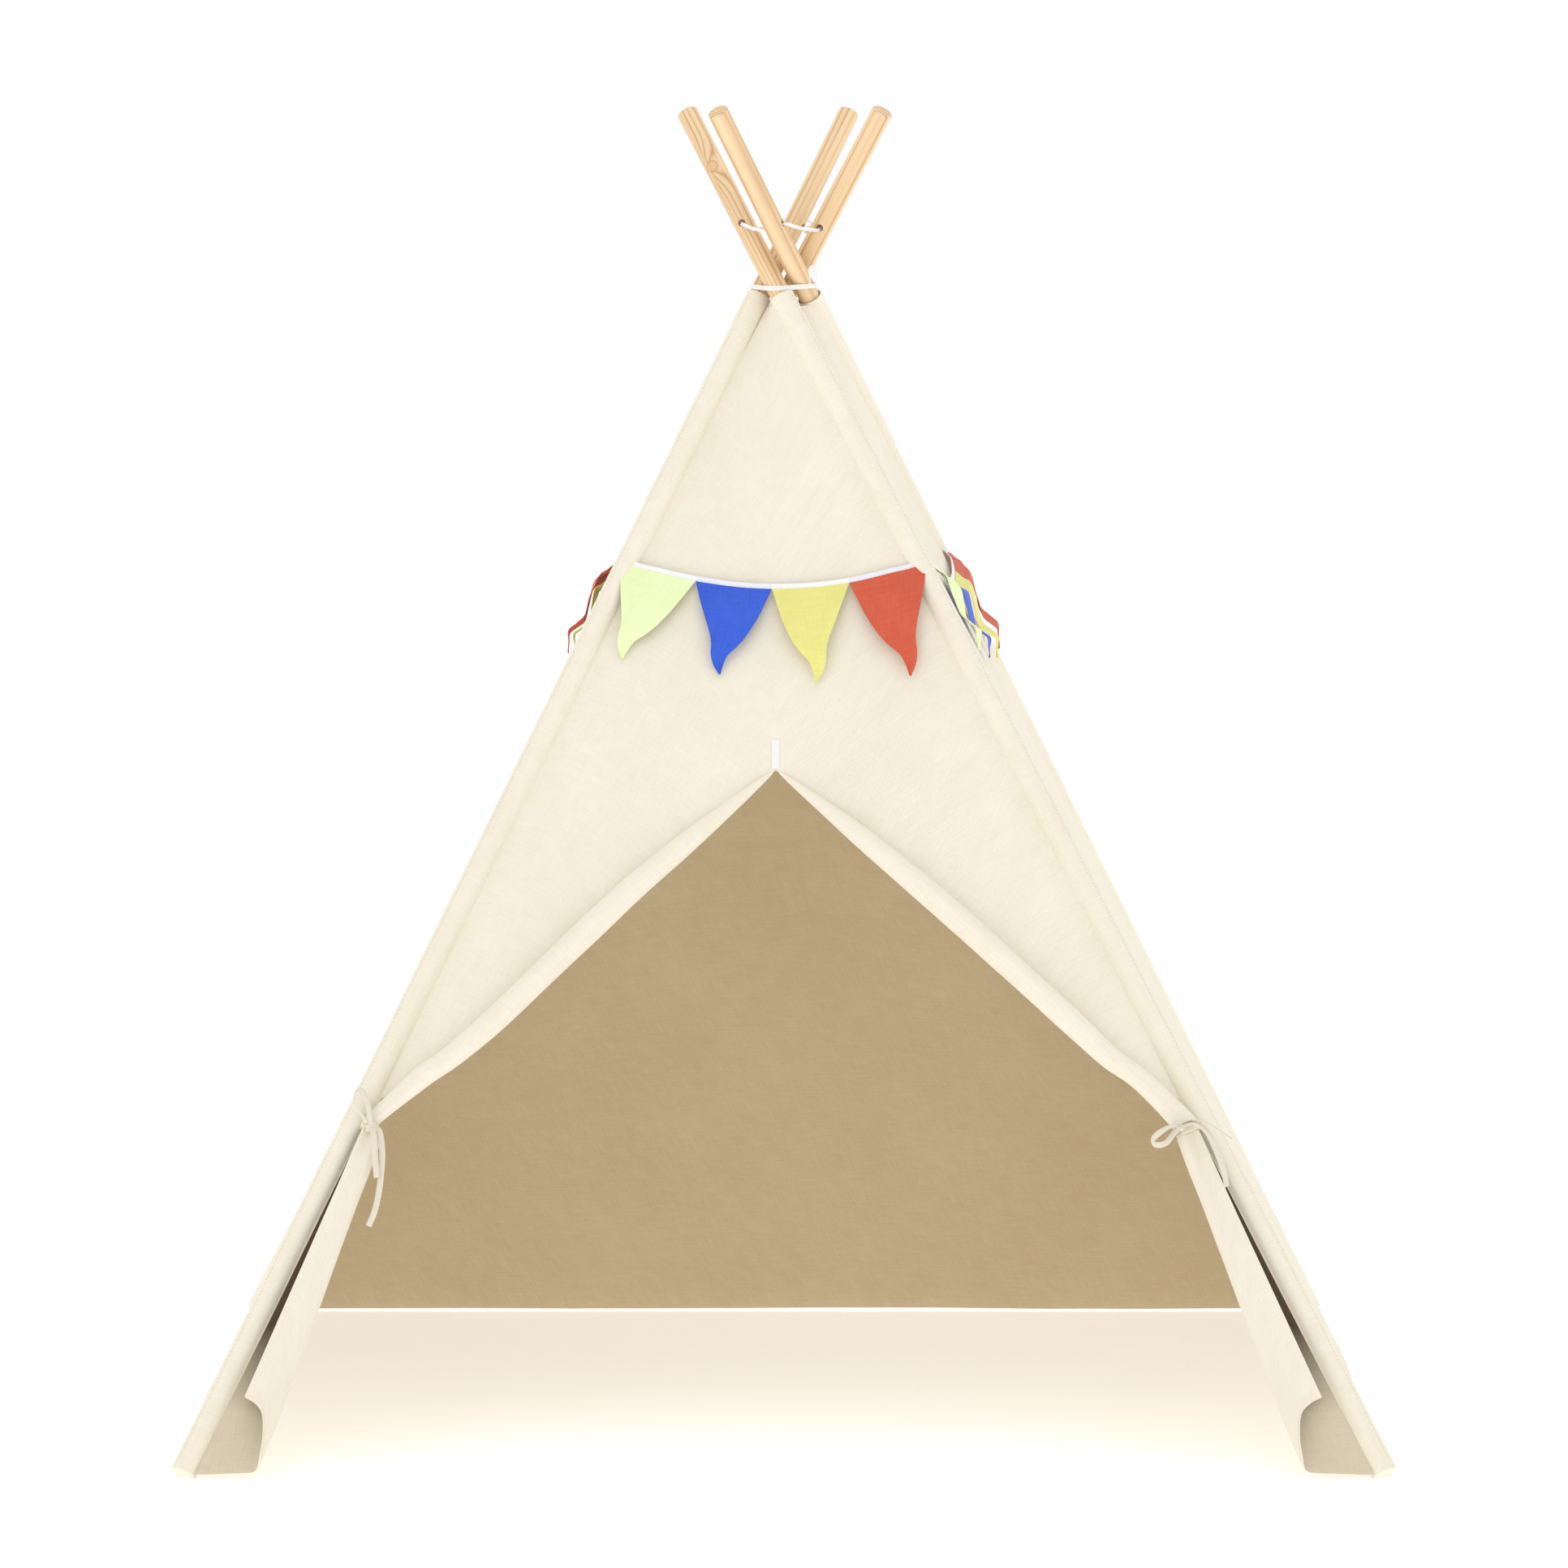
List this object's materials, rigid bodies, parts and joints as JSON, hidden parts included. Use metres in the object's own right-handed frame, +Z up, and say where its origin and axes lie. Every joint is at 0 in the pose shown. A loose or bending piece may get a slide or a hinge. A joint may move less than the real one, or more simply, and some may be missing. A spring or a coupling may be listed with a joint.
{
  "type": "kids teepee play tent",
  "caption": "Children's play tent: crossed wooden poles in cloth sleeves, a four-sided cream cover with its door tied back on both sides, and bunting.",
  "frame": {"origin": "on the floor, at the centre of the square that the four pole feet stand in", "axes": "+Z up to the pole tips, -Y the front with the door, +X to the right as seen from the front"},
  "size_m": [1.2204, 1.229, 1.3645],
  "materials": {
    "pine": "satin",
    "ferrule_steel": "satin",
    "canvas": "matte",
    "cream_tape": "matte",
    "white_tape": "matte",
    "white_cord": "matte",
    "light_green_cloth": "matte",
    "blue_cloth": "matte",
    "yellow_cloth": "matte",
    "red_cloth": "matte"
  },
  "bodies": {
    "cover": {"front_panel": "canvas", "right_panel": "canvas", "back_panel": "canvas", "left_panel": "canvas", "bunting_tape_front": "white_tape", "bunting_tape_right": "white_tape", "bunting_tape_back": "white_tape", "bunting_tape_left": "white_tape", "door_top_tape": "white_tape", "door_roll_left": "canvas", "door_roll_right": "canvas", "door_tie_left": "cream_tape", "door_tie_right": "cream_tape", "pole_lace": "white_cord", "lace_bow": "white_cord", "pole_band": "white_cord"},
    "leg_front_left": {"lower_pole_front_left": "pine", "middle_pole_front_left": "pine", "upper_pole_front_left": "pine", "lower_ferrule_front_left": "ferrule_steel", "middle_ferrule_front_left": "ferrule_steel", "pole_sleeve_front_left": "canvas"},
    "leg_front_right": {"lower_pole_front_right": "pine", "middle_pole_front_right": "pine", "upper_pole_front_right": "pine", "lower_ferrule_front_right": "ferrule_steel", "middle_ferrule_front_right": "ferrule_steel", "pole_sleeve_front_right": "canvas"},
    "leg_back_right": {"lower_pole_back_right": "pine", "middle_pole_back_right": "pine", "upper_pole_back_right": "pine", "lower_ferrule_back_right": "ferrule_steel", "middle_ferrule_back_right": "ferrule_steel", "pole_sleeve_back_right": "canvas"},
    "leg_back_left": {"lower_pole_back_left": "pine", "middle_pole_back_left": "pine", "upper_pole_back_left": "pine", "lower_ferrule_back_left": "ferrule_steel", "middle_ferrule_back_left": "ferrule_steel", "pole_sleeve_back_left": "canvas"},
    "curtain_left": {"door_curtain_left": "canvas"},
    "curtain_right": {"door_curtain_right": "canvas"},
    "flag_front_1": {"pennant_front_1": "light_green_cloth"},
    "flag_front_2": {"pennant_front_2": "blue_cloth"},
    "flag_front_3": {"pennant_front_3": "yellow_cloth"},
    "flag_front_4": {"pennant_front_4": "red_cloth"},
    "flag_right_1": {"pennant_right_1": "light_green_cloth"},
    "flag_right_2": {"pennant_right_2": "blue_cloth"},
    "flag_right_3": {"pennant_right_3": "yellow_cloth"},
    "flag_right_4": {"pennant_right_4": "red_cloth"},
    "flag_back_1": {"pennant_back_1": "light_green_cloth"},
    "flag_back_2": {"pennant_back_2": "blue_cloth"},
    "flag_back_3": {"pennant_back_3": "yellow_cloth"},
    "flag_back_4": {"pennant_back_4": "red_cloth"},
    "flag_left_1": {"pennant_left_1": "light_green_cloth"},
    "flag_left_2": {"pennant_left_2": "blue_cloth"},
    "flag_left_3": {"pennant_left_3": "yellow_cloth"},
    "flag_left_4": {"pennant_left_4": "red_cloth"}
  },
  "joints": [
    {"name": "fold_front_left", "type": "hinge", "parent": "cover", "child": "leg_front_left", "pos_m": [-0.01475, 0.01475, 1.188], "axis": [0.7243, -0.6895, 0], "range_deg": [0, 28], "deforming": ["pennant_front_1", "pennant_front_2", "pennant_left_3", "pennant_left_4", "pole_lace", "lace_bow", "pole_band"]},
    {"name": "fold_front_right", "type": "hinge", "parent": "cover", "child": "leg_front_right", "pos_m": [-0.01475, -0.01475, 1.188], "axis": [0.6895, 0.7243, 0], "range_deg": [0, 28], "deforming": ["pennant_front_3", "pennant_front_4", "pennant_right_1", "pennant_right_2"]},
    {"name": "fold_back_right", "type": "hinge", "parent": "cover", "child": "leg_back_right", "pos_m": [0.01475, -0.01475, 1.188], "axis": [-0.7243, 0.6895, 0], "range_deg": [0, 28], "deforming": ["pennant_right_3", "pennant_right_4", "pennant_back_1", "pennant_back_2"]},
    {"name": "fold_back_left", "type": "hinge", "parent": "cover", "child": "leg_back_left", "pos_m": [0.01475, 0.01475, 1.188], "axis": [-0.6895, -0.7243, 0], "range_deg": [0, 28], "deforming": ["pennant_back_3", "pennant_back_4", "pennant_left_1", "pennant_left_2"]},
    {"name": "swing_door_curtain_left", "type": "hinge", "parent": "leg_front_left", "child": "curtain_left", "pos_m": [-0.01475, 0.01475, 1.188], "axis": [-0.4008, -0.421, -0.8137], "range_deg": [0, 35]},
    {"name": "swing_door_curtain_right", "type": "hinge", "parent": "leg_front_right", "child": "curtain_right", "pos_m": [-0.01475, -0.01475, 1.188], "axis": [-0.421, 0.4008, 0.8137], "range_deg": [0, 35]},
    {"name": "lift_pennant_front_1", "type": "hinge", "parent": "leg_front_left", "child": "flag_front_1", "pos_m": [-0.13108, -0.16372, 0.88047], "axis": [-0.9423, 0.207, 0.2632], "range_deg": [0, 90]},
    {"name": "lift_pennant_front_2", "type": "hinge", "parent": "leg_front_left", "child": "flag_front_2", "pos_m": [-0.05214, -0.17698, 0.86572], "axis": [-0.9882, 0.1235, 0.0902], "range_deg": [0, 90]},
    {"name": "lift_pennant_front_3", "type": "hinge", "parent": "leg_front_right", "child": "flag_front_3", "pos_m": [0.02742, -0.18287, 0.86572], "axis": [-0.9951, 0.0315, -0.0935], "range_deg": [0, 90]},
    {"name": "lift_pennant_front_4", "type": "hinge", "parent": "leg_front_right", "child": "flag_front_4", "pos_m": [0.10759, -0.18137, 0.88047], "axis": [-0.9622, -0.0581, -0.2662], "range_deg": [0, 90]},
    {"name": "lift_pennant_right_1", "type": "hinge", "parent": "leg_front_right", "child": "flag_right_1", "pos_m": [0.16372, -0.13108, 0.88047], "axis": [-0.207, -0.9423, 0.2632], "range_deg": [0, 90]},
    {"name": "lift_pennant_right_2", "type": "hinge", "parent": "leg_front_right", "child": "flag_right_2", "pos_m": [0.17698, -0.05214, 0.86572], "axis": [-0.1235, -0.9882, 0.0902], "range_deg": [0, 90]},
    {"name": "lift_pennant_right_3", "type": "hinge", "parent": "leg_back_right", "child": "flag_right_3", "pos_m": [0.18287, 0.02742, 0.86572], "axis": [-0.0315, -0.9951, -0.0935], "range_deg": [0, 90]},
    {"name": "lift_pennant_right_4", "type": "hinge", "parent": "leg_back_right", "child": "flag_right_4", "pos_m": [0.18137, 0.10759, 0.88047], "axis": [0.0581, -0.9622, -0.2662], "range_deg": [0, 90]},
    {"name": "lift_pennant_back_1", "type": "hinge", "parent": "leg_back_right", "child": "flag_back_1", "pos_m": [0.13108, 0.16372, 0.88047], "axis": [0.9423, -0.207, 0.2632], "range_deg": [0, 90]},
    {"name": "lift_pennant_back_2", "type": "hinge", "parent": "leg_back_right", "child": "flag_back_2", "pos_m": [0.05214, 0.17698, 0.86572], "axis": [0.9882, -0.1235, 0.0902], "range_deg": [0, 90]},
    {"name": "lift_pennant_back_3", "type": "hinge", "parent": "leg_back_left", "child": "flag_back_3", "pos_m": [-0.02742, 0.18287, 0.86572], "axis": [0.9951, -0.0315, -0.0935], "range_deg": [0, 90]},
    {"name": "lift_pennant_back_4", "type": "hinge", "parent": "leg_back_left", "child": "flag_back_4", "pos_m": [-0.10759, 0.18137, 0.88047], "axis": [0.9622, 0.0581, -0.2662], "range_deg": [0, 90]},
    {"name": "lift_pennant_left_1", "type": "hinge", "parent": "leg_back_left", "child": "flag_left_1", "pos_m": [-0.16372, 0.13108, 0.88047], "axis": [0.207, 0.9423, 0.2632], "range_deg": [0, 90]},
    {"name": "lift_pennant_left_2", "type": "hinge", "parent": "leg_back_left", "child": "flag_left_2", "pos_m": [-0.17698, 0.05214, 0.86572], "axis": [0.1235, 0.9882, 0.0902], "range_deg": [0, 90]},
    {"name": "lift_pennant_left_3", "type": "hinge", "parent": "leg_front_left", "child": "flag_left_3", "pos_m": [-0.18287, -0.02742, 0.86572], "axis": [0.0315, 0.9951, -0.0935], "range_deg": [0, 90]},
    {"name": "lift_pennant_left_4", "type": "hinge", "parent": "leg_front_left", "child": "flag_left_4", "pos_m": [-0.18137, -0.10759, 0.88047], "axis": [-0.0581, 0.9622, -0.2662], "range_deg": [0, 90]}
  ],
  "couplings": [
    {"joint": "fold_front_right", "follows": "fold_front_left", "ratio": 1},
    {"joint": "fold_back_right", "follows": "fold_front_left", "ratio": 1},
    {"joint": "fold_back_left", "follows": "fold_front_left", "ratio": 1}
  ]
}
